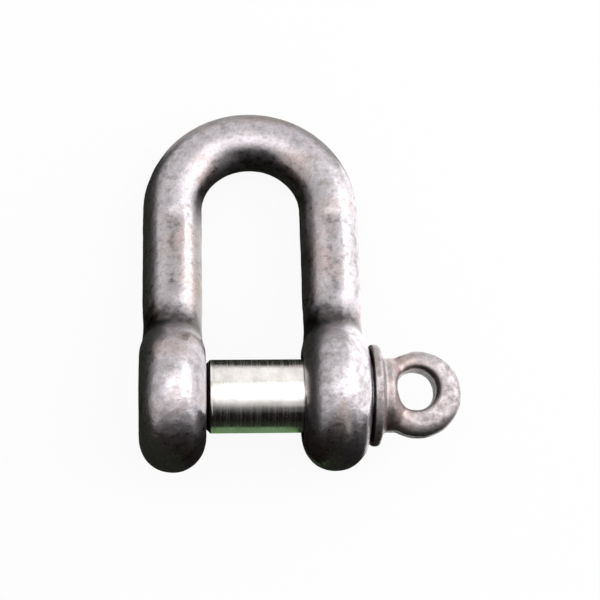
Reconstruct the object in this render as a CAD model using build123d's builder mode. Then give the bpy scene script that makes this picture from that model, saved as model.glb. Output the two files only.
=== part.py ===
from build123d import *
from math import asin, cos, degrees, sin
import os

# A forged D shackle with a screw pin, lying on a flat surface as it comes to rest.
# X runs along the pin, towards its eye. The legs point to +Y and lean down to the crown of the bow.
# The origin is on the pin's axis, halfway between the two ears. All sizes are in millimetres.

# Sizes of the bow
bar_diameter = 20.0  # round bar of the legs and the crown
inside_width = 32.0  # clear gap between the ears
inside_length = 84.0  # from the pin's axis to the inside of the crown
ear_diameter = 50.0
ear_thickness = 22.0
ear_rim_radius = 10.8  # forged rounding of each ear's rim
ear_neck_radius = 8.0  # blend between a leg and its ear
pad_depth = 0.8  # flats pressed into the front of both legs, where a maker puts the marks
pad_length = 38.0
pad_start = 29.5  # from the pin's axis
pad_end_radius = 6.0
bore_chamfer = 0.8

# Sizes of the pin
shank_diameter = 24.4
shank_play = 1.5  # on the diameter, in the plain ear
thread_diameter = 22.0
thread_play = 0.2  # on the diameter, in the tapped ear
thread_setback = 1.0  # how far the pin's tip stays inside the tapped ear
tip_chamfer = 1.6
undercut_width = 3.0  # between the thread and the shoulder
undercut_depth = 1.7
undercut_chamfer = 0.8
shoulder_gap = 0.1  # left between the shoulder and the tapped ear
shoulder_chamfer = 1.3
collar_gap = 0.5  # left between the collar and the plain ear, because the shoulder seats first
collar_diameter = 33.8
collar_rim_width = 2.9
collar_thickness = 4.4  # at the neck, where the sloped back of the collar ends
collar_face_chamfer = 0.5
collar_back_radius = 1.6
neck_diameter = 24.8
neck_length = 2.4
neck_fillet = 1.2
eye_outer_diameter = 28.6
eye_hole_diameter = 13.6
eye_hole_shift_x = -0.9  # the hole is punched a little off the middle of the eye, towards the collar
eye_hole_shift_y = 1.3  # and to one side
eye_thickness = 12.6
eye_reach = 11.6  # from the back of the collar to the middle of the eye
eye_outer_rounding = 4.0
eye_hole_rounding = 2.2
eye_waist_narrowing = 0.8  # of the flattened waist against the neck that it runs from
eye_waist_thinning = 2.0  # of the waist against the eye that it runs into
eye_waist_fillet = 1.8  # between the waist and the round of the eye
eye_turn = 11.0  # degrees from the plane of the bow, where the shoulder happened to seat

# Places that follow from the sizes
ear_inner_x = inside_width / 2
ear_outer_x = ear_inner_x + ear_thickness
leg_x = ear_inner_x + ear_thickness / 2
crown_y = inside_length + bar_diameter / 2 - leg_x
lean = asin((ear_diameter - bar_diameter) / 2 / (inside_length + bar_diameter / 2))
bow_normal = Vector(0, sin(lean), cos(lean))
bow_plane = Plane(origin=(0, 0, 0), x_dir=(1, 0, 0), z_dir=bow_normal)
bow_side = Plane(origin=(0, 0, 0), x_dir=bow_plane.y_dir, z_dir=(1, 0, 0))

# The bow: a bent round bar with two round ears, forged in one piece
with BuildPart() as bow:
    with BuildLine(bow_plane):
        left_leg = Line((-leg_x, 0), (-leg_x, crown_y))
        crown = ThreePointArc(left_leg @ 1, (0, crown_y + leg_x), (leg_x, crown_y))
        right_leg = Line(crown @ 1, (leg_x, 0))
    with BuildSketch(Plane(origin=left_leg @ 0, z_dir=left_leg % 0)):
        Circle(bar_diameter / 2)
    sweep()
    # The flats for the marks, with ends that run out in a curve
    with BuildSketch(bow_side) as pad_side:
        with Locations((pad_start + pad_length / 2, bar_diameter / 2 - pad_depth)):
            Rectangle(pad_length, bar_diameter / 2, align=(Align.CENTER, Align.MIN))
        fillet(pad_side.vertices().group_by(Axis.Y)[0], pad_end_radius)
    extrude(amount=ear_outer_x, both=True, mode=Mode.SUBTRACT)
    # Both ears are turned about the pin's axis, with a rim that is almost a half round
    with BuildSketch(Plane.XY) as ear_half:
        with Locations((-leg_x, -ear_diameter / 4), (leg_x, -ear_diameter / 4)):
            Rectangle(ear_thickness, ear_diameter / 2)
        fillet(ear_half.vertices().group_by(Axis.Y)[0], ear_rim_radius)
    revolve(axis=Axis.X)
    necks = bow.edges(Select.NEW).filter_by(lambda e: e.center().Y > ear_diameter / 8)
    fillet(necks, ear_neck_radius)
    # The plain ear lets the shank through and the tapped ear takes the thread
    with BuildSketch(Plane.YZ.offset(ear_inner_x)):
        Circle((shank_diameter + shank_play) / 2)
    extrude(amount=ear_thickness, mode=Mode.SUBTRACT)
    plain_rims = bow.edges(Select.LAST).filter_by(GeomType.CIRCLE)
    chamfer(plain_rims, bore_chamfer)
    with BuildSketch(Plane.YZ.offset(-ear_outer_x)):
        Circle((thread_diameter + thread_play) / 2)
    extrude(amount=ear_thickness, mode=Mode.SUBTRACT)
    tapped_rims = bow.edges(Select.LAST).filter_by(GeomType.CIRCLE)
    chamfer(tapped_rims, bore_chamfer)

# Places along the pin
tip_x = -ear_outer_x + thread_setback
shoulder_x = -ear_inner_x + shoulder_gap
collar_x = ear_outer_x + collar_gap
neck_x = collar_x + collar_thickness
eye_x = neck_x + eye_reach
eye_normal = Vector(0, 0, 1).rotate(Axis.X, eye_turn - degrees(lean))
pin_plane = Plane(origin=(0, 0, 0), x_dir=(1, 0, 0), z_dir=eye_normal)
eye_plane = Plane(origin=(eye_x, 0, 0), x_dir=(1, 0, 0), z_dir=eye_normal)
eye_side = Plane(origin=(eye_x, 0, 0), x_dir=(1, 0, 0), z_dir=eye_plane.y_dir)
waist_start = neck_x + neck_length
waist_end = eye_x - eye_hole_diameter / 4

# The pin: threaded end, undercut, shank, collar and eye, forged and turned in one piece
with BuildPart() as screw_pin:
    with BuildSketch(pin_plane) as turned:
        with BuildLine():
            Polyline(
                (tip_x, 0),
                (tip_x, thread_diameter / 2),
                (shoulder_x - undercut_width, thread_diameter / 2),
                (shoulder_x - undercut_width, thread_diameter / 2 - undercut_depth),
                (shoulder_x, thread_diameter / 2 - undercut_depth),
                (shoulder_x, shank_diameter / 2),
                (collar_x, shank_diameter / 2),
                (collar_x, collar_diameter / 2),
                (collar_x + collar_rim_width, collar_diameter / 2),
                (neck_x, neck_diameter / 2),
                (waist_start, neck_diameter / 2),
                (waist_start, 0),
                close=True,
            )
        make_face()
        tip_corner = turned.vertices().sort_by_distance((tip_x, thread_diameter / 2))[0]
        chamfer(tip_corner, tip_chamfer)
        undercut_corners = turned.vertices().filter_by(
            lambda v: abs(v.Y - thread_diameter / 2 + undercut_depth) < undercut_depth / 10
        )
        chamfer(undercut_corners, undercut_chamfer)
        shoulder_corner = turned.vertices().sort_by_distance((shoulder_x, shank_diameter / 2))[0]
        chamfer(shoulder_corner, shoulder_chamfer)
        face_corner = turned.vertices().sort_by_distance((collar_x, collar_diameter / 2))[0]
        chamfer(face_corner, collar_face_chamfer)
        back_corner = turned.vertices().sort_by_distance(
            (collar_x + collar_rim_width, collar_diameter / 2)
        )[0]
        fillet(back_corner, collar_back_radius)
        neck_corner = turned.vertices().sort_by_distance((neck_x, neck_diameter / 2))[0]
        fillet(neck_corner, neck_fillet)
    revolve(axis=Axis.X)
    # The round neck flattens into the eye
    with BuildSketch(Plane(origin=(waist_start, 0, 0), x_dir=eye_plane.y_dir, z_dir=(1, 0, 0))):
        Circle(neck_diameter / 2)
    with BuildSketch(Plane(origin=(waist_end, 0, 0), x_dir=eye_plane.y_dir, z_dir=(1, 0, 0))):
        Ellipse((neck_diameter - eye_waist_narrowing) / 2, (eye_thickness - eye_waist_thinning) / 2)
    loft()
    with BuildSketch(eye_side) as disc_half:
        with Locations((eye_outer_diameter / 4, 0)):
            Rectangle(eye_outer_diameter / 2, eye_thickness)
        fillet(disc_half.vertices().group_by(Axis.X)[-1], eye_outer_rounding)
    revolve(axis=Axis(eye_plane.origin, eye_plane.z_dir))
    fillet(screw_pin.edges(Select.NEW), eye_waist_fillet)
    # The hole, with rims that are rounded like the rest of the forging
    with BuildSketch(eye_plane):
        with Locations((eye_hole_shift_x, eye_hole_shift_y)):
            Circle(eye_hole_diameter / 2)
    extrude(amount=neck_diameter / 2, both=True, mode=Mode.SUBTRACT)
    hole_rims = screw_pin.edges(Select.LAST).filter_by(GeomType.LINE, reverse=True)
    fillet(hole_rims, eye_hole_rounding)

for piece in (bow, screw_pin):
    print(piece.part.is_valid, len(piece.part.solids()), round(piece.part.volume, 1))

os.makedirs("parts", exist_ok=True)
bow.part.label = "bow"
screw_pin.part.label = "screw_pin"
export_step(bow.part, "parts/bow.step")
export_step(screw_pin.part, "parts/screw_pin.step")
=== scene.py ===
"""Looks of a forged D shackle with a screw pin that lies on a pale floor.

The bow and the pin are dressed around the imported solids: the forged skins are remeshed finely and get the
small unevenness of a forging, the holes are drilled into them afterwards, and the pin and the tapped ear get
a real thread. Sizes are in millimetres until they become vertices, which are in metres.
"""

import logging
import math
from collections.abc import Callable
from dataclasses import dataclass, field
from enum import Enum

import bmesh
import bpy
from bpy.types import Material, Mesh, Modifier, Node, NodeOutputs, NodeSocket, NodeTree, Object, World
from mathutils import Matrix, Vector


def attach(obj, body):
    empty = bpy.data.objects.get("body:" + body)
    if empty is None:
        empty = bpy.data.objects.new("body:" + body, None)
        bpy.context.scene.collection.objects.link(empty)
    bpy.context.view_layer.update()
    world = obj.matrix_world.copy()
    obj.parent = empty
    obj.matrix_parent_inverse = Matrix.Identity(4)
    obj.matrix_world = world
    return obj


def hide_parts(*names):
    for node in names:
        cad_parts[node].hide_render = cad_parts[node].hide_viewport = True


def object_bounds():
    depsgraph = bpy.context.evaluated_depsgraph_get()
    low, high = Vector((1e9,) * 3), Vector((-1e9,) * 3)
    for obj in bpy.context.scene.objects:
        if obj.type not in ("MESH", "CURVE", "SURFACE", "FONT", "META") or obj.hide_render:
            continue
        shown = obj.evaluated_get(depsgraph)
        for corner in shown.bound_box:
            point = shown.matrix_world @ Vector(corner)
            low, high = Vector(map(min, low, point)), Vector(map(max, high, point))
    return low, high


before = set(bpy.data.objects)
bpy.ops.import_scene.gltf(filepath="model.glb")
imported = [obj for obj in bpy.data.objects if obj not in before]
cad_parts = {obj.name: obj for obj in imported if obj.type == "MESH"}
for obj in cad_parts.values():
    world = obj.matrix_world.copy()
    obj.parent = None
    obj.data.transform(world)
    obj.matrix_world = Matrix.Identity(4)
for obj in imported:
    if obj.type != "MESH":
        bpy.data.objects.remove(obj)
CAD_LOW, CAD_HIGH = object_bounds()

LOG = logging.getLogger("shackle")
MM = 0.001  # one millimetre in scene units
HOLLOW_AND_SHADE = "hollow"  # attribute: how far a point sinks below its surroundings, in millimetres, raised where painted shade and darkening are added
WELD = 0.0005  # points nearer than this many millimetres are one point
WHITE = (1.0, 1.0, 1.0, 1.0)
MATH = "ShaderNodeMath"
VECTOR_MATH = "ShaderNodeVectorMath"
NOISE = "ShaderNodeTexNoise"
CHANGE = "ShaderNodeMapRange"
MIX = "ShaderNodeMix"
Corners = tuple[tuple[float, float, float], ...]
Source = Node | NodeSocket  # what can feed a socket


class Slot(Enum):
    """The record's material slots."""

    FORGED = "forged_bow"
    TURNED = "turned_pin"


class Body(Enum):
    """The bodies that pieces ride on."""

    BOW = "bow"
    PIN = "pin"


class Reach(Enum):
    """Which rays see a stage piece."""

    ALL = "all"
    REFLECTIONS = "reflections"


class Tone(Enum):
    """Colours of the cards."""

    BLACK = "#110e0c"
    SHADE_GREEN = "#23271f"
    MOSS = "#6a8a63"
    GREY = "#dadcd6"
    WHITE = "#ffffff"


def linear(hex_colour: str) -> tuple[float, float, float, float]:
    """Turns an sRGB hex colour into the linear one that shaders take.

    Args:
        hex_colour: six hex digits after a hash sign.

    Returns:
        Red, green, blue and alpha.
    """
    channels = [int(hex_colour[i : i + 2], 16) / 255 for i in (1, 3, 5)]
    curved = [c / 12.92 if c <= 0.04045 else ((c + 0.055) / 1.055) ** 2.4 for c in channels]
    return (*curved, 1.0)


def per_metre(size_mm: float) -> float:
    """Turns the real size of a pattern's feature into a texture scale on Object coordinates."""
    return 1.0 / (size_mm * MM)


class Tree:
    """A node tree that grows by one function."""

    def __init__(self, tree: NodeTree) -> None:
        """Takes Blender's own tree."""
        self.tree = tree

    def node(self, kind: str, inputs: dict[str | int, object] | None = None, **settings: object) -> Node:
        """Adds a node with its settings, values and links.

        Args:
            kind: the node's type name.
            inputs: for a socket's name or number, a value, or the node or output socket that feeds it.
            settings: the node's own properties.

        Returns:
            The new node.
        """
        node = self.tree.nodes.new(kind)
        for key, value in settings.items():
            setattr(node, key, value)
        for key, value in (inputs or {}).items():
            named = (socket for socket in node.inputs if socket.enabled and socket.name == key)
            socket = node.inputs[key] if isinstance(key, int) else next(named)
            if isinstance(value, Node):
                value = next(output for output in value.outputs if output.enabled)
            if isinstance(value, NodeSocket):
                self.tree.links.new(value, socket)
            else:
                socket.default_value = value
        return node


class ShaderTree(Tree):
    """The node tree of a material or a world, which starts empty."""

    def __init__(self, owner: Material | World) -> None:
        """Empties the tree of its owner.

        Args:
            owner: the material or world.
        """
        owner.use_nodes = True
        owner.node_tree.nodes.clear()
        super().__init__(owner.node_tree)

    def background_share(self) -> Node:
        """Adds the test for rays that see the background itself.

        Returns:
            The node, which gives 1 for camera, glossy and transmission rays and 0 for rays of plain light.
        """
        path = self.node("ShaderNodeLightPath").outputs
        seen = {0: path["Is Camera Ray"], 1: path["Is Glossy Ray"]}
        direct = self.node(MATH, seen, operation="MAXIMUM")
        return self.node(MATH, {0: direct, 1: path["Is Transmission Ray"]}, operation="MAXIMUM")


def set_stops(node: Node, places: tuple[float, ...], colours: tuple[str, ...]) -> None:
    """Sets the stops of a colour ramp.

    Args:
        node: the ramp's node.
        places: where its colours stand, from 0 to 1.
        colours: the colours as hex.
    """
    elements = node.color_ramp.elements
    while len(elements) < len(places):
        elements.new(1.0)
    for element, place, colour in zip(elements, places, colours):
        element.position = place
        element.color = linear(colour)


@dataclass(frozen=True)
class Pattern:
    """Noise pattern: real size of its features in millimetres, octaves and weight of the fine octaves."""

    size_mm: float
    octaves: float
    rough: float = 0.5

    def inputs(self, place: Source) -> dict[str, object]:
        """Gives the inputs of a noise node.

        Args:
            place: what gives the coordinates.

        Returns:
            A value for each input.
        """
        return {
            "Vector": place,
            "Scale": per_metre(self.size_mm),
            "Detail": self.octaves,
            "Roughness": self.rough,
        }


@dataclass(frozen=True)
class GalvanisedForging:
    """Hot-dip galvanised forged steel, a little weathered.

    The zinc gives the eye a soft, pale sheen, broken by the grain that the scale left and by clouds where
    the coat has dulled or taken a brown cast. Dirt and painted shade darken the hollows and the places
    marked as hollow.
    """

    name: str = "hot-dip galvanised forging"
    pale: str = "#d3ced4"
    middle: str = "#c4bec3"
    dull: str = "#9c9595"
    brown: str = "#b0978e"
    # colour of the specks, and of the dirt and painted shade in the hollows
    soot_and_shade: str = "#2c2725"
    clouds: Pattern = Pattern(15.0, 3.0)
    mottle: Pattern = Pattern(2.6, 5.0, 0.65)
    grain: Pattern = Pattern(0.8, 3.0, 0.6)  # real zinc grain is finer; drawn just coarse enough to show
    mottle_weight: float = 0.7  # of the mottle against the clouds
    zinc_places: tuple[float, float, float] = (0.34, 0.5, 0.62)  # values of dull, middle and pale zinc
    brown_ends: tuple[float, float] = (0.46, 0.66)  # the clouds' values where brown starts and is full
    brown_share: float = 0.5
    speck_ends: tuple[float, float] = (0.56, 0.3)  # the grain's values where specks start and are full
    speck_share: float = 0.2
    gloss_ends: tuple[float, float] = (0.35, 0.62)  # pale zinc is smoother than dull zinc
    roughness_low: float = 0.26
    roughness_high: float = 0.41
    lump_height_mm: float = 0.09
    grain_height_mm: float = 0.05
    hollow_low_mm: float = -0.75  # depth below the surroundings where dirt and painted shade start
    hollow_high_mm: float = 0.05  # depth where they are full
    hollow_ragged_mm: float = 1.3  # how far the mottle moves both
    # how far the dirt and painted shade darken the zinc towards the soot colour
    hollow_dirt_and_shade: float = 0.9

    def build(self) -> Material:
        """Builds the material.

        Returns:
            The material.
        """
        material = bpy.data.materials.new(self.name)
        tree = ShaderTree(material)
        place = tree.node("ShaderNodeTexCoord").outputs["Object"]
        patterns = (self.clouds, self.mottle, self.grain)
        clouds, mottle, grain = (tree.node(NOISE, pattern.inputs(place)) for pattern in patterns)
        weights = {"Factor": self.mottle_weight, "A": clouds, "B": mottle}
        blotches = tree.node(MIX, weights, data_type="FLOAT")
        colour = tree.node("ShaderNodeValToRGB", {"Fac": blotches})
        set_stops(colour, self.zinc_places, (self.dull, self.middle, self.pale))
        # dirt and painted shade: the hollow attribute darkens the zinc towards the soot colour
        sunk = tree.node("ShaderNodeAttribute", attribute_name=HOLLOW_AND_SHADE).outputs["Fac"]
        spread = {0: mottle, 1: self.hollow_ragged_mm, 2: sunk}
        ragged_dirt_and_shade = tree.node(MATH, spread, operation="MULTIPLY_ADD")
        half = self.hollow_ragged_mm / 2
        depths = (self.hollow_low_mm + half, self.hollow_high_mm + half)
        for pattern, (start, end), most, over in (
            (clouds, self.brown_ends, self.brown_share, self.brown),
            (grain, self.speck_ends, self.speck_share, self.soot_and_shade),
            (ragged_dirt_and_shade, depths, self.hollow_dirt_and_shade, self.soot_and_shade),
        ):
            rise = {"Value": pattern, "From Min": start, "From Max": end, "To Min": 0.0, "To Max": most}
            share = tree.node(CHANGE, rise, interpolation_type="SMOOTHSTEP")
            colour = tree.node(MIX, {"Factor": share, "A": colour, "B": linear(over)}, data_type="RGBA")
        normal = {}
        for pattern, height in ((mottle, self.lump_height_mm), (grain, self.grain_height_mm)):
            raised = {"Strength": 1.0, "Distance": height * MM, "Height": pattern}
            normal = {"Normal": tree.node("ShaderNodeBump", raised | normal)}
        dulling = {
            "Value": blotches,
            "From Min": self.gloss_ends[0],
            "From Max": self.gloss_ends[1],
            "To Min": self.roughness_high,
            "To Max": self.roughness_low,
        }
        metal = {"Base Color": colour, "Metallic": 1.0, "Roughness": tree.node(CHANGE, dulling)}
        shader = tree.node("ShaderNodeBsdfPrincipled", metal | normal)
        tree.node("ShaderNodeOutputMaterial", {"Surface": shader})
        return material


@dataclass(frozen=True)
class TurnedSteel:
    """Turned and polished carbon steel.

    It gives the eye a clear, bright mirror that is drawn out round the pin by the fine lines of the tool.
    """

    name: str = "turned bright steel"
    bright: str = "#fbf8f5"
    worn: str = "#e6e0dc"
    feed: Pattern = Pattern(0.5, 3.0)  # real feed is about 0.2 mm; drawn as coarse as the render can show
    feed_stretch: float = 50.0  # how much longer than wide the tool's lines are
    smears: Pattern = Pattern(6.0, 4.0)
    wear_ends: tuple[float, float] = (0.35, 0.6)  # the smears' values where the steel is worn and bright
    gloss_ends: tuple[float, float] = (0.35, 0.65)  # the lines' values where it is smoothest and roughest
    roughness_low: float = 0.16
    roughness_high: float = 0.3
    line_height_mm: float = 0.0012

    def build(self) -> Material:
        """Builds the material.

        Returns:
            The material.
        """
        material = bpy.data.materials.new(self.name)
        tree = ShaderTree(material)
        place = tree.node("ShaderNodeTexCoord").outputs["Object"]
        squeezed = {"Vector": place, "Scale": (1.0, 1 / self.feed_stretch, 1 / self.feed_stretch)}
        lines = tree.node(NOISE, self.feed.inputs(tree.node("ShaderNodeMapping", squeezed)))
        colour = tree.node("ShaderNodeValToRGB", {"Fac": tree.node(NOISE, self.smears.inputs(place))})
        set_stops(colour, self.wear_ends, (self.worn, self.bright))
        drawn = {
            "Value": lines,
            "From Min": self.gloss_ends[0],
            "From Max": self.gloss_ends[1],
            "To Min": self.roughness_low,
            "To Max": self.roughness_high,
        }
        raised = {"Strength": 1.0, "Distance": self.line_height_mm * MM, "Height": lines}
        metal = {
            "Base Color": colour,
            "Metallic": 1.0,
            "Roughness": tree.node(CHANGE, drawn),
            "Normal": tree.node("ShaderNodeBump", raised),
        }
        tree.node("ShaderNodeOutputMaterial", {"Surface": tree.node("ShaderNodeBsdfPrincipled", metal)})
        return material


@dataclass(frozen=True)
class WhitePaper:
    """Matt white background paper, which burns out to white but keeps the object's shadow."""

    name: str = "matt white paper"
    colour: str = "#f4f4f4"
    roughness: float = 0.5
    glow_share: float = 0.92  # how much of the paper burns out, and so takes no shadow

    def build(self) -> Material:
        """Builds the material.

        Returns:
            The material.
        """
        material = bpy.data.materials.new(self.name)
        tree = ShaderTree(material)
        matt = {"Color": linear(self.colour), "Roughness": self.roughness}
        paper = tree.node("ShaderNodeBsdfDiffuse", matt)
        glow = tree.node("ShaderNodeEmission", {"Color": WHITE, "Strength": 1.0})
        share = tree.node(MATH, {0: tree.background_share(), 1: self.glow_share}, operation="MULTIPLY")
        mixed = tree.node("ShaderNodeMixShader", {0: share, 1: paper, 2: glow})
        tree.node("ShaderNodeOutputMaterial", {"Surface": mixed})
        return material


@dataclass(frozen=True)
class Fade:
    """How a card runs into another colour between two places on an axis, in millimetres."""

    start: float
    end: float
    axis: str = "Z"
    colour: Tone | None = Tone.WHITE  # None where the card runs out clear


@dataclass(frozen=True)
class Card:
    """Matt card that stands or lies by the object and shows in its metal, on the side that it faces."""

    name: str
    colour: Tone
    corners: Corners
    strength: float = 1.0  # above 1 where a lamp shines on it
    fade: Fade | None = None

    def finish(self) -> Material:
        """Builds the card's material, which is clear from behind.

        Returns:
            The material.
        """
        material = bpy.data.materials.new(f"matt {self.name}")
        tree = ShaderTree(material)
        geometry = tree.node("ShaderNodeNewGeometry").outputs
        colour, unseen = linear(self.colour.value), geometry["Backfacing"]
        if self.fade is not None:
            part = tree.node("ShaderNodeSeparateXYZ", {0: geometry["Position"]}).outputs[self.fade.axis]
            start, end = self.fade.start * MM, self.fade.end * MM
            rise = {"Value": part, "From Min": start, "From Max": end, "To Min": 0.0, "To Max": 1.0}
            share = tree.node(CHANGE, rise, interpolation_type="SMOOTHSTEP")
            if self.fade.colour is None:
                unseen = tree.node(MATH, {0: unseen, 1: share}, operation="MAXIMUM")
            else:
                both = {"Factor": share, "A": colour, "B": linear(self.fade.colour.value)}
                colour = tree.node(MIX, both, data_type="RGBA")
        card = tree.node("ShaderNodeEmission", {"Color": colour, "Strength": self.strength})
        clear = tree.node("ShaderNodeBsdfTransparent")
        mixed = tree.node("ShaderNodeMixShader", {0: unseen, 1: card, 2: clear})
        tree.node("ShaderNodeOutputMaterial", {"Surface": mixed})
        return material


def wall(start: tuple[float, float], end: tuple[float, float], low: float, high: float) -> Corners:
    """Gives the corners of an upright card that faces right, as one walks from its start to its end."""
    return (*start, low), (*end, low), (*end, high), (*start, high)


def flat(height: float, *places: tuple[float, float]) -> Corners:
    """Gives the corners of a card that lies level, from its height and the x and y of each corner."""
    return tuple((x, y, height) for x, y in places)


def across(x: float, *places: tuple[float, float]) -> Corners:
    """Gives the corners of a card square to the pin's axis, from its x and the y and z of each corner."""
    return tuple((x, y, z) for y, z in places)


@dataclass(frozen=True)
class Lamp:
    """Soft rectangular lamp, in millimetres."""

    name: str
    place: tuple[float, float, float]
    size: tuple[float, float]
    radiance: float  # how bright its face is, where 1 is white
    aimed: bool = False  # at the middle of the object, or else straight down


def link(name: str, mesh: Mesh) -> Object:
    """Makes an object at the origin from a mesh whose vertices are already in place.

    Args:
        name: the object's name.
        mesh: its mesh.

    Returns:
        The object, linked to the scene.
    """
    mesh.name = name
    piece = bpy.data.objects.new(name, mesh)
    bpy.context.scene.collection.objects.link(piece)
    return piece


def drop(*objects: Object) -> None:
    """Removes helper objects."""
    for helper in objects:
        bpy.data.objects.remove(helper)


def settle(piece: Object) -> None:
    """Applies all of a piece's modifiers to its mesh.

    Args:
        piece: the piece.
    """
    graph = bpy.context.evaluated_depsgraph_get()
    mesh = bpy.data.meshes.new_from_object(piece.evaluated_get(graph))
    mesh.name = piece.name
    piece.modifiers.clear()
    piece.data = mesh


def modify(piece: Object, kind: str, **settings: object) -> Modifier:
    """Adds a modifier with its settings.

    Args:
        piece: the piece that gets it.
        kind: the modifier's type name.
        settings: the modifier's properties.

    Returns:
        The modifier.
    """
    modifier = piece.modifiers.new(kind.lower(), kind)
    for key, value in settings.items():
        setattr(modifier, key, value)
    return modifier


def welded_copy(node: str, name: str) -> Object:
    """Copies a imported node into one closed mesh.

    Args:
        node: the node's name.
        name: the copy's name.

    Returns:
        The copy.
    """
    source = bmesh.new()
    source.from_mesh(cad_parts[node].data)
    bmesh.ops.remove_doubles(source, verts=source.verts, dist=WELD * MM)
    mesh = bpy.data.meshes.new(name)
    source.to_mesh(mesh)
    source.free()
    imported = mesh.attributes.get("custom_normal")
    if imported is not None:
        mesh.attributes.remove(imported)
    return link(name, mesh)


def keep_between(piece: Object, low_x: float | None, high_x: float | None) -> None:
    """Cuts a closed piece square to the pin's axis and closes the cuts.

    Args:
        piece: the piece.
        low_x: where the kept part starts in millimetres, or None for its own end.
        high_x: where the kept part ends in millimetres, or None for its own end.
    """
    shape = bmesh.new()
    shape.from_mesh(piece.data)
    for cut, outward in ((low_x, -1.0), (high_x, 1.0)):
        if cut is None:
            continue
        found = bmesh.ops.bisect_plane(
            shape,
            geom=[*shape.verts, *shape.edges, *shape.faces],
            plane_co=(cut * MM, 0.0, 0.0),
            plane_no=(outward, 0.0, 0.0),
            clear_outer=True,
        )
        rim = [item for item in found["geom_cut"] if isinstance(item, bmesh.types.BMEdge)]
        bmesh.ops.holes_fill(shape, edges=rim)
    bmesh.ops.recalc_face_normals(shape, faces=shape.faces)
    shape.to_mesh(piece.data)
    shape.free()


def lathe(name: str, profile: list[tuple[float, float]], segments: int) -> Object:
    """Turns a profile about the pin's axis into a closed solid.

    Args:
        name: the solid's name.
        profile: points of x and radius in millimetres, with x rising.
        segments: faces round the axis.

    Returns:
        The solid.
    """
    shape = bmesh.new()
    rings = []
    for x, radius in profile:
        angles = [2 * math.pi * step / segments for step in range(segments)]
        rings.append(
            [shape.verts.new((x * MM, radius * MM * math.cos(a), radius * MM * math.sin(a))) for a in angles]
        )
    for near, far in zip(rings, rings[1:]):
        for step in range(segments):
            after = (step + 1) % segments
            shape.faces.new((near[step], far[step], far[after], near[after]))
    shape.faces.new(rings[0])
    shape.faces.new(reversed(rings[-1]))
    bmesh.ops.recalc_face_normals(shape, faces=shape.faces)
    mesh = bpy.data.meshes.new(name)
    shape.to_mesh(mesh)
    shape.free()
    return link(name, mesh)


def combine(piece: Object, other: Object, operation: str) -> None:
    """Cuts another solid out of a piece or joins it on, and removes the other solid.

    Args:
        piece: the piece that changes.
        other: the cutter or addition.
        operation: DIFFERENCE or UNION.
    """
    modify(piece, "BOOLEAN", operation=operation, object=other, solver="MANIFOLD")
    settle(piece)
    drop(other)


def reskin(blank: Object, name: str, voxel: float, steps: int) -> Object:
    """Makes a piece with fine, even faces from a closed blank, and removes the blank.

    Args:
        blank: the blank.
        name: the piece's name.
        voxel: size of its faces in millimetres.
        steps: how often it is smoothed.

    Returns:
        The piece.
    """
    piece = link(name, blank.data.copy())
    modify(piece, "REMESH", mode="VOXEL", voxel_size=voxel * MM)
    modify(piece, "SHRINKWRAP", target=blank, wrap_method="NEAREST_SURFACEPOINT")
    modify(piece, "SMOOTH", factor=0.5, iterations=steps)
    settle(piece)
    drop(blank)
    return piece


def soften(piece: Object, weight: Callable[[Vector], float], steps: int) -> None:
    """Smooths a part of a piece.

    Args:
        piece: the piece that changes.
        weight: how much a place in millimetres is smoothed, where 0 and less is not at all.
        steps: how often it is smoothed.
    """
    group = piece.vertex_groups.new(name="soft")
    for vertex in piece.data.vertices:
        share = weight(vertex.co / MM)
        if share > 0.0:
            group.add([vertex.index], min(share, 1.0), "REPLACE")
    modify(piece, "SMOOTH", factor=0.5, iterations=steps, vertex_group=group.name)
    settle(piece)
    piece.vertex_groups.clear()


def shade(piece: Object, crease_deg: float) -> None:
    """Shades a piece smooth, with sharp lines where it turns sharply.

    Args:
        piece: the piece.
        crease_deg: the least turn that shows as a sharp line.
    """
    mesh = piece.data
    mesh.polygons.foreach_set("use_smooth", [True] * len(mesh.polygons))
    mesh.set_sharp_from_angle(angle=math.radians(crease_deg))


def count_triangles(piece: Object) -> int:
    """Counts a piece's triangles."""
    return sum(len(face.vertices) - 2 for face in piece.data.polygons)


class TreeSocket(Enum):
    """Kinds of input that a Geometry Nodes tree declares."""

    LENGTH = "NodeSocketFloat"
    COUNT = "NodeSocketInt"
    DIRECTION = "NodeSocketVector"
    MATERIAL = "NodeSocketMaterial"


class GeometryTree(Tree):
    """A Geometry Nodes tree with named inputs that is run once on a piece."""

    def __init__(self, name: str, inputs: dict[str, TreeSocket]) -> None:
        """Makes the empty tree.

        Args:
            name: the tree's name.
            inputs: kind of each named input.
        """
        super().__init__(bpy.data.node_groups.new(name, "GeometryNodeTree"))
        face = self.tree.interface
        face.new_socket("Geometry", in_out="INPUT", socket_type="NodeSocketGeometry")
        face.new_socket("Geometry", in_out="OUTPUT", socket_type="NodeSocketGeometry")
        self.identifiers = {
            title: face.new_socket(title, in_out="INPUT", socket_type=kind.value).identifier
            for title, kind in inputs.items()
        }
        self.given = self.node("NodeGroupInput").outputs

    def end(self, geometry: Node) -> None:
        """Ends the tree in realised geometry with its material set.

        Args:
            geometry: the node that gives the geometry.
        """
        real = self.node("GeometryNodeRealizeInstances", {"Geometry": geometry})
        given = {"Geometry": real, "Material": self.given["Material"]}
        dressed = self.node("GeometryNodeSetMaterial", given)
        self.node("NodeGroupOutput", {"Geometry": dressed})

    def run(self, piece: Object, values: dict[str, object]) -> None:
        """Runs the tree on a piece and keeps the result as its mesh.

        Args:
            piece: the piece, whose mesh the tree reads and replaces.
            values: a value for each named input.
        """
        modifier = piece.modifiers.new(self.tree.name, "NODES")
        modifier.node_group = self.tree
        for title, value in values.items():
            modifier[self.identifiers[title]] = value
        settle(piece)


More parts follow.
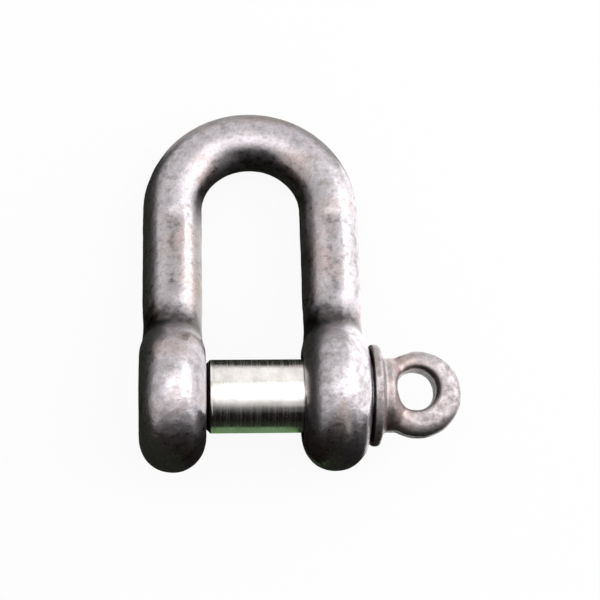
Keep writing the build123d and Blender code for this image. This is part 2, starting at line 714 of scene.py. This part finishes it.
class ForgedSkin(GeometryTree):
    """Moves a fine skin along its normals: soft dents, small pits and the trimmed line between the dies."""

    DENT_OCTAVES = 2.0
    PIT_OCTAVES = 3.0
    LINE_PATCHES = Pattern(7.0, 2.0)  # the trimmed line comes and goes in these

    def __init__(self) -> None:
        """Builds the tree."""
        lengths = ("Dent size", "Dent height", "Pit size", "Pit height", "Line width", "Line height")
        super().__init__(
            "forged skin",
            {
                **dict.fromkeys(lengths, TreeSocket.LENGTH),
                "Die normal": TreeSocket.DIRECTION,
                "Blur steps": TreeSocket.COUNT,
                "Material": TreeSocket.MATERIAL,
            },
        )
        given, place = self.given, self.node("GeometryNodeInputPosition")
        normal = self.node("GeometryNodeInputNormal")
        dents = self.wave(place, given["Dent size"], self.DENT_OCTAVES, given["Dent height"])
        pits = self.wave(place, given["Pit size"], self.PIT_OCTAVES, given["Pit height"])
        from_die = self.node(VECTOR_MATH, {0: place, 1: given["Die normal"]}, operation="DOT_PRODUCT")
        line = self.node(
            CHANGE,
            {
                "Value": self.node(MATH, {0: from_die}, operation="ABSOLUTE"),
                "From Min": given["Line width"],
                "From Max": 0.0,
                "To Min": 0.0,
                "To Max": given["Line height"],
            },
            interpolation_type="SMOOTHSTEP",
        )
        patches = self.node(NOISE, self.LINE_PATCHES.inputs(place))
        doubled = self.node(MATH, {0: patches, 1: 2.0}, operation="MULTIPLY")
        trimmed = self.node(MATH, {0: line, 1: doubled}, operation="MULTIPLY")
        uneven = self.node(MATH, {0: dents, 1: pits}, operation="ADD")
        height = self.node(MATH, {0: uneven, 1: trimmed}, operation="ADD")
        out = self.node(VECTOR_MATH, {0: normal, "Scale": height}, operation="SCALE")
        marked = self.mark_hollows(place, normal)
        self.end(self.node("GeometryNodeSetPosition", {"Geometry": marked, "Offset": out}))

    def mark_hollows(self, place: Node, normal: Node) -> Node:
        """Stores how far each point sinks below its surroundings.

        Args:
            place: the node that gives the points' places.
            normal: the node that gives their normals.

        Returns:
            The node that gives the marked geometry.
        """
        inputs = {"Value": place, "Iterations": self.given["Blur steps"]}
        around = self.node("GeometryNodeBlurAttribute", inputs, data_type="FLOAT_VECTOR")
        rise = self.node(VECTOR_MATH, {0: around, 1: place}, operation="SUBTRACT")
        sunk = self.node(VECTOR_MATH, {0: rise, 1: normal}, operation="DOT_PRODUCT")
        depth = self.node(MATH, {0: sunk, 1: MM}, operation="DIVIDE")
        inputs = {"Geometry": self.given["Geometry"], "Name": HOLLOW_AND_SHADE, "Value": depth}
        return self.node("GeometryNodeStoreNamedAttribute", inputs, data_type="FLOAT", domain="POINT")

    def wave(self, place: Node, size: NodeSocket, octaves: float, height: NodeSocket) -> Node:
        """Adds a noise that swings about zero.

        Args:
            place: the node that gives the coordinates.
            size: the size of its features.
            octaves: how many it has.
            height: the full height from its lowest to its highest.

        Returns:
            The node that gives the offset.
        """
        scale = self.node(MATH, {0: 1.0, 1: size}, operation="DIVIDE")
        pattern = self.node(NOISE, {"Vector": place, "Scale": scale, "Detail": octaves})
        centred = self.node(MATH, {0: pattern, 1: 0.5}, operation="SUBTRACT")
        return self.node(MATH, {0: centred, 1: height}, operation="MULTIPLY")


@dataclass(frozen=True)
class Unevenness:
    """How uneven a forged skin is, in millimetres."""

    dent_size: float = 9.0
    dent_height: float = 0.32
    pit_size: float = 2.2
    pit_height: float = 0.09
    line_width: float = 1.3  # of the trimmed line between the dies
    line_height: float = 0.14
    blur_steps: int = 150  # how far the surroundings of a point reach

    def inputs(self, die_normal: Vector, finish: Material) -> dict[str, object]:
        """Gives the forged skin's tree its values.

        Args:
            die_normal: normal of the plane in which the dies part.
            finish: the skin's material.

        Returns:
            A value for each of the tree's inputs.
        """
        return {
            "Dent size": self.dent_size * MM,
            "Dent height": self.dent_height * MM,
            "Pit size": self.pit_size * MM,
            "Pit height": self.pit_height * MM,
            "Line width": self.line_width * MM,
            "Line height": self.line_height * MM,
            "Die normal": die_normal,
            "Blur steps": self.blur_steps,
            "Material": finish,
        }


class ThreadedRod(GeometryTree):
    """A closed rod along the pin's axis with a metric thread, which both cuts the ear and ends the pin."""

    CREST_HALF = 1 / 16  # half of the flat on a crest, as a share of the pitch
    FLANK_DEG = 30.0

    def __init__(self) -> None:
        """Builds the tree."""
        lengths = ("Start", "Length", "Crest radius", "Root radius", "Pitch")
        limits = ("Start limit", "End limit", "Least radius")
        super().__init__(
            "threaded rod",
            {
                **dict.fromkeys((*lengths, *limits), TreeSocket.LENGTH),
                **dict.fromkeys(("Segments", "Steps"), TreeSocket.COUNT),
                "Material": TreeSocket.MATERIAL,
            },
        )
        given = self.given
        sizes = {
            "Vertices": given["Segments"],
            "Side Segments": given["Steps"],
            "Radius": 1.0,
            "Depth": given["Length"],
        }
        rod = self.node("GeometryNodeMeshCylinder", sizes, fill_type="TRIANGLE_FAN")
        parts = self.node("ShaderNodeSeparateXYZ", {0: self.node("GeometryNodeInputPosition")}).outputs
        half = self.node(MATH, {0: given["Length"], 1: 0.5}, operation="MULTIPLY")
        along = self.node(MATH, {0: parts["Z"], 1: half}, operation="ADD")
        x = self.node(MATH, {0: along, 1: given["Start"]}, operation="ADD")
        radius = self.limit(self.thread(parts, x), along)
        circle = self.node("ShaderNodeCombineXYZ", {"X": parts["X"], "Y": parts["Y"]})
        wide = self.node(VECTOR_MATH, {0: circle, "Scale": radius}, operation="SCALE")
        spokes = self.node("ShaderNodeSeparateXYZ", {0: wide}).outputs
        lying = self.node("ShaderNodeCombineXYZ", {"X": x, "Y": spokes["X"], "Z": spokes["Y"]})
        self.end(self.node("GeometryNodeSetPosition", {"Geometry": rod, "Position": lying}))

    def thread(self, parts: NodeOutputs, x: Node) -> Node:
        """Adds the radius of an endless thread.

        Args:
            parts: coordinates of the upright rod.
            x: the node that gives the place along the pin.

        Returns:
            The node that gives the radius.
        """
        pitch = self.given["Pitch"]
        angle = self.node(MATH, {0: parts["Y"], 1: parts["X"]}, operation="ARCTAN2")
        turned = self.node(MATH, {0: angle, 1: 2 * math.pi}, operation="DIVIDE")
        pitches = self.node(MATH, {0: x, 1: pitch}, operation="DIVIDE")
        turns = self.node(MATH, {0: pitches, 1: turned}, operation="SUBTRACT")
        swing = self.node(MATH, {0: turns, 1: 0.5}, operation="PINGPONG")
        off_crest = self.node(MATH, {0: swing, 1: pitch}, operation="MULTIPLY")
        crest_half = self.node(MATH, {0: pitch, 1: self.CREST_HALF}, operation="MULTIPLY")
        past_crest = self.node(MATH, {0: off_crest, 1: crest_half}, operation="SUBTRACT")
        fall = self.node(MATH, {0: past_crest, 1: 0.0}, operation="MAXIMUM")
        steepness = 1 / math.tan(math.radians(self.FLANK_DEG))
        flank = self.node(MATH, {0: fall, 1: steepness}, operation="MULTIPLY")
        cut = self.node(MATH, {0: self.given["Crest radius"], 1: flank}, operation="SUBTRACT")
        return self.node(MATH, {0: cut, 1: self.given["Root radius"]}, operation="MAXIMUM")

    def limit(self, radius: Node, along: Node) -> Node:
        """Keeps a radius small near both ends, where the rod is chamfered, and above the least radius.

        Args:
            radius: the node that gives the radius.
            along: the node that gives the distance from the rod's start.

        Returns:
            The node that gives the limited radius.
        """
        from_end = self.node(MATH, {0: self.given["Length"], 1: along}, operation="SUBTRACT")
        for title, distance in (("Start limit", along), ("End limit", from_end)):
            most = self.node(MATH, {0: self.given[title], 1: distance}, operation="ADD")
            radius = self.node(MATH, {0: radius, 1: most}, operation="MINIMUM")
        return self.node(MATH, {0: radius, 1: self.given["Least radius"]}, operation="MAXIMUM")


@dataclass
class Thread:
    """Metric coarse thread shared by the pin and the tapped ear, in millimetres."""

    major_radius: float = 11.0
    pitch: float = 2.5
    play: float = 0.1  # on the radius
    pin_depth: float = 0.6134  # as a share of the pitch
    ear_depth: float = 0.5413
    segments: int = 144
    steps_per_pitch: int = 24

    @property
    def pin_root(self) -> float:
        """Radius at the bottom of the pin's thread."""
        return self.major_radius - self.pin_depth * self.pitch

    @property
    def ear_crest(self) -> float:
        """Radius at the inner tops of the ear's thread."""
        return self.major_radius - self.ear_depth * self.pitch + self.play

    def rod(
        self,
        tree: ThreadedRod,
        name: str,
        ends: tuple[float, float],
        limits: tuple[float, float],
        least: float,
        cutter: bool,
        material: Material,
    ) -> Object:
        """Makes a threaded rod.

        Args:
            tree: the tree that makes it.
            name: the rod's name.
            ends: where it starts and ends along the pin.
            limits: largest radius at its start and at its end, growing inwards at 45 degrees.
            least: smallest radius anywhere.
            cutter: whether it cuts the ear, and so is larger by the play.
            material: its finish.

        Returns:
            The rod.
        """
        rod = link(name, bpy.data.meshes.new(name))
        length = ends[1] - ends[0]
        tree.run(
            rod,
            {
                "Start": ends[0] * MM,
                "Length": length * MM,
                "Crest radius": (self.major_radius + (self.play if cutter else 0.0)) * MM,
                "Root radius": (self.ear_crest if cutter else self.pin_root) * MM,
                "Pitch": self.pitch * MM,
                "Start limit": limits[0] * MM,
                "End limit": limits[1] * MM,
                "Least radius": least * MM,
                "Segments": self.segments,
                "Steps": round(length / self.pitch * self.steps_per_pitch),
                "Material": material,
            },
        )
        return rod


@dataclass
class Bow:
    """The forged bow with its drilled ear and its tapped ear, in millimetres."""

    inside_width: float = 32.0
    ear_thickness: float = 22.0
    ear_radius: float = 25.0
    leg_reach: float = 94.0  # from the pin's axis to the middle of the bar in the crown
    bar_radius: float = 10.0
    plain_bore_radius: float = 12.95
    rim_chamfer: float = 0.8
    plug_radius: float = 14.6  # fills the bores while the skin is made
    voxel: float = 0.62  # size of the skin's faces
    skin_smoothing: int = 16
    unevenness: Unevenness = Unevenness()
    crease_deg: float = 32.0  # the least turn that shows as a sharp edge
    pad_ends: tuple[float, float] = (30.5, 66.5)  # along a leg, from the pin's axis
    pad_height: float = 6.0  # above the middle of the bar
    pad_run_out: float = 8.0
    pad_smoothing: int = 90
    pad_dark_fade: float = 4.0
    pad_dark_height: float = 7.8
    pad_dark_rise: float = 1.2
    pad_darkening: float = 0.06  # as dark as a hollow of this depth
    neck_place: float = 23.0  # along a leg, from the pin's axis
    neck_run_out: float = 11.0
    neck_smoothing: int = 160
    neck_shade_place: float = 26.0
    neck_shade_run_out: float = 9.0
    neck_shade: float = 0.3  # painted shade, heavier on the side that faces the pin's threaded end
    neck_shade_even: float = 0.4  # share of the painted shade that lies all round
    thread: Thread = field(default_factory=Thread)
    bore_segments: int = 160
    overshoot: float = 2.0  # of a cutter past the faces

    @property
    def ear_inner(self) -> float:
        """Distance of an ear's inner face from the middle."""
        return self.inside_width / 2

    @property
    def ear_outer(self) -> float:
        """Distance of an ear's outer face from the middle."""
        return self.ear_inner + self.ear_thickness

    @property
    def die_normal(self) -> Vector:
        """Normal of the plane in which the dies part, which leans as the bow lies."""
        lean = math.asin((self.ear_radius - self.bar_radius) / self.leg_reach)
        return Vector((0.0, math.sin(lean), math.cos(lean)))

    @property
    def leg_direction(self) -> Vector:
        """Direction of the legs from their ears to the crown."""
        return Vector((0.0, self.die_normal.z, -self.die_normal.y))

    def skin(self, forged: ForgedSkin, finish: Material) -> Object:
        """Makes the forged skin with its bores still closed.

        Args:
            forged: the tree that roughens it.
            finish: its material.

        Returns:
            The skin as a closed piece.
        """
        blank = welded_copy("bow", "bow_blank")
        plugs = [
            lathe("plug", [(side[0], self.plug_radius), (side[1], self.plug_radius)], self.bore_segments)
            for side in ((-self.ear_outer, -self.ear_inner), (self.ear_inner, self.ear_outer))
        ]
        filled = bmesh.new()
        for part in (blank, *plugs):
            filled.from_mesh(part.data)
        filled.to_mesh(blank.data)
        filled.free()
        drop(*plugs)
        piece = reskin(blank, "bow_forging", self.voxel, self.skin_smoothing)
        self.soften_pads(piece)
        self.soften_necks(piece)
        forged.run(piece, self.unevenness.inputs(self.die_normal, finish))
        return piece

    def soften_pads(self, piece: Object) -> None:
        """Lets the ends of the pressed flats run out softly, as under a coat of zinc.

        Args:
            piece: the skin, which changes.
        """
        normal, along = self.die_normal, self.leg_direction

        def nearness(place: Vector) -> float:
            """Gives 1 at the end of a flat, and 0 or less past its run-out."""
            off = min(abs(place.dot(along) - end) for end in self.pad_ends)
            return 1.0 - off / self.pad_run_out if place.dot(normal) > self.pad_height else 0.0

        soften(piece, nearness, self.pad_smoothing)

    def soften_necks(self, piece: Object) -> None:
        """Lets the legs run into their ears softly.

        Args:
            piece: the skin, which changes.
        """
        along = self.leg_direction

        def nearness(place: Vector) -> float:
            """Gives 1 in the middle of a neck, and 0 or less past its run-out."""
            return 1.0 - abs(place.dot(along) - self.neck_place) / self.neck_run_out

        soften(piece, nearness, self.neck_smoothing)

    def darken(self, piece: Object) -> None:
        """Paints shade on the necks, heavier on one side, and darkens the pressed flats, by raising their
        hollow attribute.

        Args:
            piece: the bow with its hollow attribute.
        """
        normal, along = self.die_normal, self.leg_direction
        middle, half = sum(self.pad_ends) / 2, (self.pad_ends[1] - self.pad_ends[0]) / 2
        for vertex, mark in zip(piece.data.vertices, piece.data.attributes[HOLLOW_AND_SHADE].data):
            place = vertex.co / MM
            # the pressed flats are darkened a little
            inward = (half - abs(place.dot(along) - middle)) / self.pad_dark_fade
            upward = (place.dot(normal) - self.pad_dark_height) / self.pad_dark_rise
            if inward > 0.0 and upward > 0.0 and place.dot(along) < self.leg_reach - self.bar_radius:
                mark.value += self.pad_darkening * min(inward, 1.0) * min(upward, 1.0)
            # painted shade on the necks, heavier on their sides towards the pin's threaded end
            off = abs(place.dot(along) - self.neck_shade_place) / self.neck_shade_run_out
            side = math.copysign(self.ear_inner + self.ear_thickness / 2, place.x) - place.x
            sided = (1.0 - self.neck_shade_even) * side / self.bar_radius
            turned = max(0.0, self.neck_shade_even + sided)
            mark.value += self.neck_shade * turned * max(0.0, 1.0 - off)

    def bore_cutter(self) -> Object:
        """Makes the cutter of the plain ear's bore, with a chamfer at both rims.

        Returns:
            The cutter.
        """
        radius, rim, past = self.plain_bore_radius, self.rim_chamfer, self.overshoot
        near, far = self.ear_inner, self.ear_outer
        profile = [
            (near - past, radius + rim + past),
            (near + rim, radius),
            (far - rim, radius),
            (far + past, radius + rim + past),
        ]
        return lathe("bore_cutter", profile, self.bore_segments)

    def tap(self, rods: ThreadedRod, finish: Material) -> Object:
        """Makes the cutter of the tapped ear's thread.

        Args:
            rods: the tree that makes it.
            finish: its material.

        Returns:
            The cutter.
        """
        past = self.overshoot
        start, end = -self.ear_outer - past, -self.ear_inner + past
        wide = self.thread.major_radius + self.thread.play + self.rim_chamfer + past
        return self.thread.rod(rods, "tap", (start, end), (wide, wide), 0.0, True, finish)

    def countersink(self, face: float, inward: float) -> Object:
        """Makes a cone that chamfers one rim of the tapped hole.

        Args:
            face: x of the ear's face.
            inward: 1 where the ear lies at higher x, or -1.

        Returns:
            The cone.
        """
        wide = self.thread.major_radius + self.thread.play + self.rim_chamfer
        tip = self.thread.ear_crest - self.overshoot
        depth = wide - tip
        ends = [(face - inward * self.overshoot, wide + self.overshoot), (face + inward * depth, tip)]
        return lathe("countersink", sorted(ends), self.bore_segments)

    def build(self, forged: ForgedSkin, rods: ThreadedRod, finish: Material) -> Object:
        """Builds the bow.

        Args:
            forged: the tree that roughens its skin.
            rods: the tree that makes its thread.
            finish: its material.

        Returns:
            The finished piece.
        """
        piece = self.skin(forged, finish)
        combine(piece, self.bore_cutter(), "DIFFERENCE")
        combine(piece, self.tap(rods, finish), "DIFFERENCE")
        combine(piece, self.countersink(-self.ear_outer, 1.0), "DIFFERENCE")
        combine(piece, self.countersink(-self.ear_inner, -1.0), "DIFFERENCE")
        self.darken(piece)
        shade(piece, self.crease_deg)
        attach(piece, Body.BOW.value)
        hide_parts("bow")
        return piece


@dataclass
class Pin:
    """The screw pin: threaded end and turned shank, and the forged collar and eye, in millimetres."""

    tip_x: float = -37.0
    tip_chamfer: float = 1.6
    undercut_x: float = -17.4  # inside the undercut, where the turned end is joined on
    undercut_radius: float = 9.3
    undercut_start_x: float = -18.1
    shank_radius: float = 12.2
    collar_x: float = 38.5
    face_skim: float = 0.02  # taken off the collar's face where the head is parted
    joint_overlap: float = 1.0
    voxel: float = 0.34  # size of the faces of the head's skin
    head_smoothing: int = 2
    unevenness: Unevenness = Unevenness(5.0, 0.4, 1.6, 0.09, 0.8, 0.15, 50)
    shank_crease_deg: float = 25.0
    head_crease_deg: float = 50.0
    eye_lean_deg: float = 1.818
    waist_x: float = 49.0  # where the neck runs into the eye
    waist_run_out: float = 5.0
    waist_smoothing: int = 60
    hole_middle: tuple[float, float, float] = (53.6, 1.299, 0.041)  # of the hole in the eye
    hole_shade_radius: float = 9.9  # where the painted shade round the hole ends
    hole_rim: float = 2.2  # width over which it gets full
    hole_shade: float = 1.5  # painted shade, as dark as a hollow of this depth
    shaded_side: tuple[float, float, float] = (1.0, 0.6, 0.0)  # direction in which most of the painted shade lies
    face_shade_width: float = 0.75  # along the pin, from the collar's face: painted shadow of the gap by the ear
    face_shade: float = 3.5  # as dark as a hollow of this depth
    thread: Thread = field(default_factory=Thread)

    @property
    def eye_normal(self) -> Vector:
        """Normal of the flattened eye, in which plane its dies part."""
        lean = math.radians(self.eye_lean_deg)
        return Vector((0.0, -math.sin(lean), math.cos(lean)))

    def turned_end(self, rods: ThreadedRod, finish: Material) -> Object:
        """Makes the threaded end, which starts in a chamfer and ends just inside the undercut.

        Args:
            rods: the tree that makes it.
            finish: its material.

        Returns:
            The end as a closed piece.
        """
        root = self.undercut_radius - self.face_skim
        end = self.undercut_x + self.joint_overlap / 2
        run_out = end - self.undercut_start_x
        limits = (self.thread.major_radius - self.tip_chamfer, root - run_out)
        return self.thread.rod(rods, "threaded_end", (self.tip_x, end), limits, root, False, finish)

    def shank(self, rods: ThreadedRod, finish: Material) -> Object:
        """Builds the turned shank with its thread.

        Args:
            rods: the tree that makes the thread.
            finish: its material.

        Returns:
            The finished piece.
        """
        piece = welded_copy("screw_pin", "pin_shank")
        keep_between(piece, self.undercut_x, self.collar_x - self.face_skim)
        radius = self.shank_radius - self.face_skim
        ends = (self.collar_x - self.joint_overlap, self.collar_x + self.joint_overlap)
        combine(piece, lathe("spigot", [(end, radius) for end in ends], self.thread.segments), "UNION")
        combine(piece, self.turned_end(rods, finish), "UNION")
        piece.data.materials.clear()
        piece.data.materials.append(finish)
        shade(piece, self.shank_crease_deg)
        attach(piece, Body.PIN.value)
        return piece

    def darken(self, piece: Object) -> None:
        """Paints shade on one side of the eye's hole and a shadow on the rim of the collar's face, by
        raising their hollow attribute.

        Args:
            piece: the head with its hollow attribute.
        """
        axis, middle, side = self.eye_normal, Vector(self.hole_middle), Vector(self.shaded_side).normalized()
        for vertex, mark in zip(piece.data.vertices, piece.data.attributes[HOLLOW_AND_SHADE].data):
            place = vertex.co / MM
            off = place - middle
            level = off - axis * off.dot(axis)
            nearness = max(0.0, min(1.0, (self.hole_shade_radius - level.length) / self.hole_rim))
            turned = (1.0 + level.normalized().dot(side)) / 2
            from_face = max(0.0, 1.0 - (place.x - self.collar_x) / self.face_shade_width)
            # painted shade round the hole, and painted shadow at the collar's face
            mark.value += self.hole_shade * nearness * turned + self.face_shade * from_face

    def head(self, forged: ForgedSkin, finish: Material) -> Object:
        """Builds the forged collar and eye.

        Args:
            forged: the tree that roughens the skin.
            finish: its material.

        Returns:
            The finished piece.
        """
        blank = welded_copy("screw_pin", "head_blank")
        keep_between(blank, self.collar_x + self.face_skim, None)
        piece = reskin(blank, "pin_head", self.voxel, self.head_smoothing)

        def nearness(place: Vector) -> float:
            """Gives 1 where the neck runs into the eye, and 0 or less past its run-out."""
            return 1.0 - abs(place.x - self.waist_x) / self.waist_run_out

        soften(piece, nearness, self.waist_smoothing)
        forged.run(piece, self.unevenness.inputs(self.eye_normal, finish))
        self.darken(piece)
        shade(piece, self.head_crease_deg)
        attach(piece, Body.PIN.value)
        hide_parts("screw_pin")
        return piece


@dataclass
class Studio:
    """Floor, cards, lamps, world and camera. Places are in millimetres."""

    floor_half: float = 2500.0  # from the middle to an edge
    world_strength: float = 0.6
    target: tuple[float, float, float] = (15.863, 32.707, 0.0)
    azimuth_deg: float = -17.794
    elevation_deg: float = 76.692
    roll_deg: float = -1.088
    distance: float = 577.031
    lens: float = 102.86
    sensor_width: float = 36.0
    clip: tuple[float, float] = (10.0, 20000.0)
    card_lift: float = 0.3  # of the lowest cards above the floor
    card_step: float = 0.5  # between cards that lie on each other
    lamps: tuple[Lamp, ...] = (
        Lamp("lamp_top", (640.0, 125.0, 620.0), (1220.0, 530.0), 1.2),
        Lamp("lamp_top_left", (-110.0, 70.0, 620.0), (280.0, 420.0), 1.1),
        Lamp("lamp_right", (700.0, 260.0, 300.0), (900.0, 700.0), 1.5, True),
    )

    def board(self, name: str, corners: Corners, material: Material, reach: Reach) -> None:
        """Makes a flat stage piece.

        Args:
            name: its name.
            corners: its corners in millimetres.
            material: its finish.
            reach: which rays see it.
        """
        mesh = bpy.data.meshes.new(name)
        places = [tuple(c * MM for c in corner) for corner in corners]
        mesh.from_pydata(places, [], [range(len(places))])
        mesh.materials.append(material)
        board = link(name, mesh)
        if reach is Reach.REFLECTIONS:
            board.visible_camera = False
            board.visible_diffuse = False
            board.visible_shadow = False
            board.visible_transmission = False

    def floor(self) -> None:
        """Lays the pale floor under the object."""
        half = self.floor_half
        corners = flat(CAD_LOW.z / MM, (-half, -half), (half, -half), (half, half), (-half, half))
        self.board("floor", corners, WhitePaper().build(), Reach.ALL)

    def cards(self) -> None:
        """Stands and lays cards by the object, seen only in the metal, to draw its edges and its sheen."""
        z = CAD_LOW.z / MM + self.card_lift
        over, top = z + self.card_step, z + 2 * self.card_step
        black, green, grey, white = Tone.BLACK, Tone.SHADE_GREEN, Tone.GREY, Tone.WHITE
        ground = flat(z, (-600, -500), (42, -500), (42, 98), (-40, 98), (-160, 600), (-600, 600))
        right = flat(top, (42, -22), (900, -22), (900, 640), (60, 110), (42, 98))
        inside = across(-14, (18, z), (18, 4), (86, -7), (86, z))
        ear_inside = across(-14, (-8, 8), (-8, 27), (30, 27), (30, 6), (18, 8))
        ear_outside = across(38.2, (-10, 17), (-10, 27), (34, 27), (34, -4), (18, 4), (18, 17))
        for card in (
            Card("card_left", black, wall((-600, -500), (-600, 200), z, 800), 1.0, Fade(60, 330)),
            Card("card_left_back", black, wall((-600, 200), (-600, 620), z, 800), 1.0, Fade(120, 440)),
            Card("card_front", black, wall((900, -500), (-600, -500), z, 1400), 1.0, Fade(230, 1250)),
            Card("card_ground", green, ground),
            Card("card_far_ground", grey, flat(z, (-40, 98), (900, 98), (900, 600), (-160, 600)), 0.75),
            Card("card_corner", black, flat(z, (42, -500), (900, -500), (900, -22), (42, -22))),
            Card("card_ears", black, across(-15, (-30, z), (30, z), (28, 33), (-30, 33))),
            Card("card_legs", black, across(-15, (30, z), (76, z), (76, 8), (30, 10))),
            Card("card_crown", black, wall((16, 46), (-16, 46), z, 50)),
            Card("card_neck", grey, wall((53, -45), (40, -45), 30, 80)),
            Card("card_upper", grey, flat(500, (-800, 235), (-800, 450), (24, 450), (24, 235))),
            Card("card_pin", green, wall((-16, 20), (16, 20), z, 3)),
            Card("card_under", Tone.MOSS, flat(over, (-14, -60), (16, -60), (16, -6), (-14, -6))),
            Card("card_shield_left", black, across(-14.5, (-60, z), (-38, 12), (-2, 12), (-2, z))),
            Card("card_shield_right", black, across(14.5, (-2, z), (-2, 14), (-38, 14), (-60, z))),
            Card("card_inside", grey, inside, 1.4, Fade(56, 74, "Y", None)),
            Card("card_ear_inside", white, ear_inside, 1.25),
            Card("card_ear_outside", white, ear_outside, 1.85),
            Card("card_right", white, right, 1.7),
        ):
            self.board(card.name, card.corners, card.finish(), Reach.REFLECTIONS)

    def world(self) -> None:
        """Makes a white room that lights the object plainly and shows as white."""
        world = bpy.data.worlds.new("white room")
        bpy.context.scene.world = world
        tree = ShaderTree(world)
        share = {"Value": tree.background_share(), "To Min": self.world_strength, "To Max": 1.0}
        room = tree.node("ShaderNodeBackground", {"Color": WHITE, "Strength": tree.node(CHANGE, share)})
        tree.node("ShaderNodeOutputWorld", {"Surface": room})

    def hang(self, lamp: Lamp) -> None:
        """Hangs a lamp.

        Args:
            lamp: its name, place, size and light.
        """
        data = bpy.data.lights.new(lamp.name, "AREA")
        data.shape = "RECTANGLE"
        data.size, data.size_y = (side * MM for side in lamp.size)
        data.energy = lamp.radiance * math.pi * data.size * data.size_y
        hung = bpy.data.objects.new(lamp.name, data)
        hung.location = Vector(lamp.place) * MM
        if lamp.aimed:
            aim = (Vector(self.target) - Vector(lamp.place)).normalized()
            hung.rotation_euler = aim.to_track_quat("-Z", "Y").to_euler()
        bpy.context.scene.collection.objects.link(hung)

    def camera(self) -> None:
        """Sets the camera where the photograph was taken from."""
        data = bpy.data.cameras.new("camera")
        data.lens = self.lens
        data.sensor_width = self.sensor_width
        data.clip_start, data.clip_end = (reach * MM for reach in self.clip)
        camera = bpy.data.objects.new("camera", data)
        bpy.context.scene.collection.objects.link(camera)
        bpy.context.scene.camera = camera
        azimuth, elevation = math.radians(self.azimuth_deg), math.radians(self.elevation_deg)
        level = math.cos(elevation)
        back = Vector((math.sin(azimuth) * level, -math.cos(azimuth) * level, math.sin(elevation)))
        right = Vector((0.0, 1.0, 0.0)).cross(back).normalized()
        up = back.cross(right)
        facing = Matrix((right, up, back)).transposed()
        turned = (facing @ Matrix.Rotation(math.radians(self.roll_deg), 3, "Z")).to_4x4()
        turned.translation = (Vector(self.target) + back * self.distance) * MM
        camera.matrix_world = turned

    def build(self) -> None:
        """Sets up the whole studio."""
        self.floor()
        self.cards()
        self.world()
        for lamp in self.lamps:
            self.hang(lamp)
        self.camera()
        bpy.context.scene.view_settings.view_transform = "Standard"


def main() -> None:
    """Builds the shackle and its studio."""
    logging.basicConfig(level=logging.INFO, format="%(message)s")
    galvanised, turned = GalvanisedForging().build(), TurnedSteel().build()
    weathered = GalvanisedForging(
        "weathered galvanised forging",
        pale="#c8c1c4",
        middle="#aea6a8",
        dull="#857c7b",
        roughness_low=0.4,
        roughness_high=0.54,
        hollow_low_mm=0.4,
        hollow_high_mm=1.2,
        hollow_ragged_mm=0.5,
    ).build()
    forged, rods = ForgedSkin(), ThreadedRod()
    pin = Pin()
    for piece in (
        Bow().build(forged, rods, galvanised),
        pin.shank(rods, turned),
        pin.head(forged, weathered),
    ):
        LOG.info("%s: %d triangles", piece.name, count_triangles(piece))
    Studio().build()


if __name__ == "__main__":
    main()
